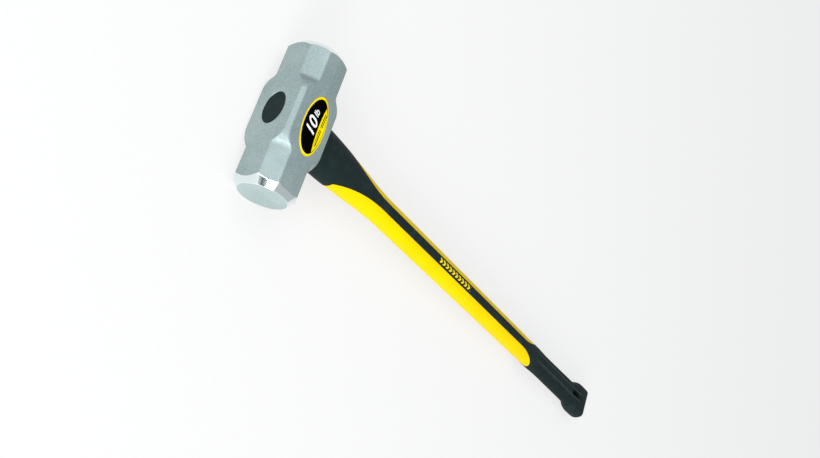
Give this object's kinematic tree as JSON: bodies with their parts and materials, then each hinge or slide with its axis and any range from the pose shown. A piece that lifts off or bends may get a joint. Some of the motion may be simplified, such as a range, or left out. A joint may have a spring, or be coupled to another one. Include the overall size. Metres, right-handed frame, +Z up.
{
  "type": "sledgehammer",
  "caption": "Double-faced forged hammer head with bevelled corners on a long oval moulded handle with an overstrike guard, side strips and a ribbed grip with a hanging slot.",
  "frame": {"origin": "on the ground under the middle of the bounding box, with the hammer lying on one cheek", "axes": "+X along the handle from the crown of the head to the butt, +Y along the head from one striking face to the other, +Z up out of the labelled cheek"},
  "size_m": [0.905, 0.179, 0.0673],
  "materials": {
    "painted_steel": "satin grey paint over forged steel, faces and chamfers ground bright",
    "glass_fibre": "pultruded glass fibre and resin",
    "yellow_plastic": "moulded, semi-gloss",
    "black_rubber": "moulded, fine matt grain",
    "black_resin": "cast, slightly rough",
    "label_film": "printed film"
  },
  "bodies": {
    "root": {"head": "painted_steel", "core_rod": "glass_fibre", "handle_jacket": "yellow_plastic", "overstrike_guard": "black_rubber", "side_strip_top": "black_rubber", "side_strip_bottom": "black_rubber", "grip": "black_rubber", "eye_bond": "black_resin", "cheek_label": "label_film"}
  },
  "joints": []
}
